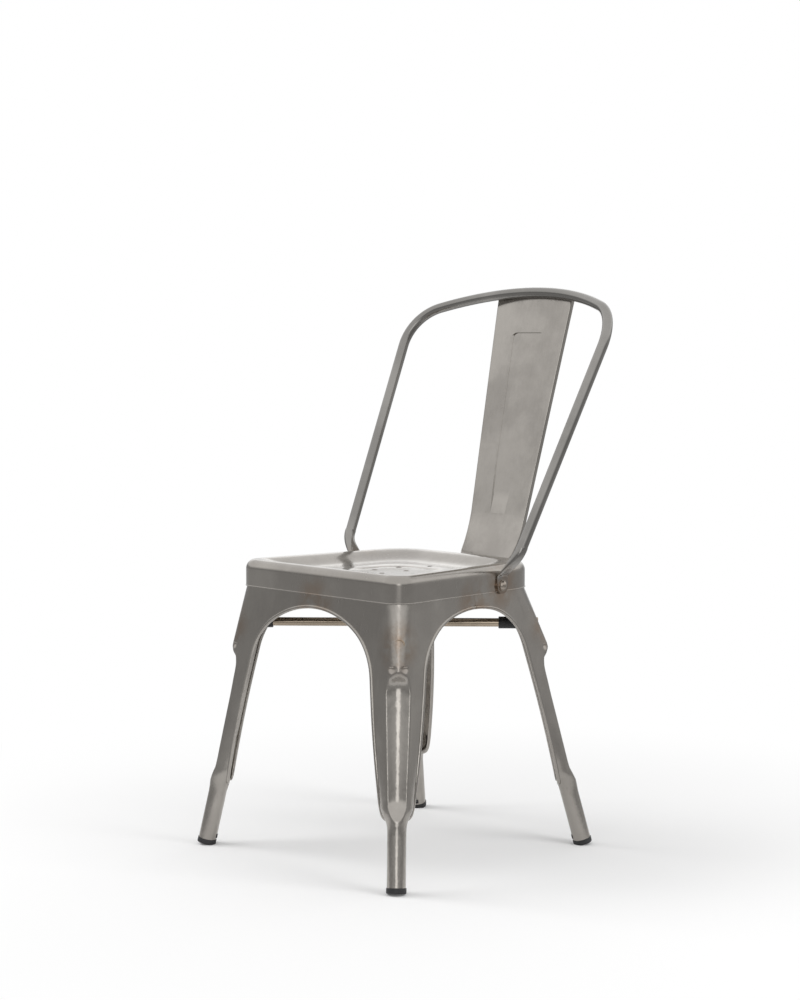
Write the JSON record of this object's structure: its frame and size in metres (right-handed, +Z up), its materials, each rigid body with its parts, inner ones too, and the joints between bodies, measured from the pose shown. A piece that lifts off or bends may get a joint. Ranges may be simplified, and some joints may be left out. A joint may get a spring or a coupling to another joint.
{
  "type": "metal bistro chair",
  "caption": "Stacking metal chair with fluted pressed-sheet legs, a dished seat pan, a bent tube back hoop and a sheet splat.",
  "frame": {"origin": "floor under the middle of the chair's bounding box", "axes": "+Z up, -Y the way a sitter faces, +X the sitter's left, across the seat"},
  "size_m": [0.4522, 0.5212, 0.8503],
  "materials": {
    "steel": "raw sheet steel under clear lacquer",
    "tube": "raw steel tube under clear lacquer",
    "hardware": "domed steel hardware",
    "plastic": "black moulded"
  },
  "bodies": {
    "root": {"seat_pan": "steel", "back_splat": "steel", "back_hoop": "tube", "leg_front_left": "steel", "leg_front_right": "steel", "leg_rear_left": "steel", "leg_rear_right": "steel", "brace_tube": "tube", "brace_half_front": "tube", "brace_half_rear": "tube", "brace_sleeve_front_left": "plastic", "brace_sleeve_front_right": "plastic", "brace_sleeve_rear_left": "plastic", "brace_sleeve_rear_right": "plastic", "hoop_bolt_left": "hardware", "hoop_bolt_right": "hardware", "hoop_washer_left": "hardware", "hoop_washer_right": "hardware", "hoop_nut_left": "hardware", "hoop_nut_right": "hardware", "splat_rivet_left": "hardware", "splat_rivet_right": "hardware", "foot_cap_front_left": "plastic", "foot_cap_front_right": "plastic", "foot_cap_rear_left": "plastic", "foot_cap_rear_right": "plastic"}
  },
  "joints": []
}
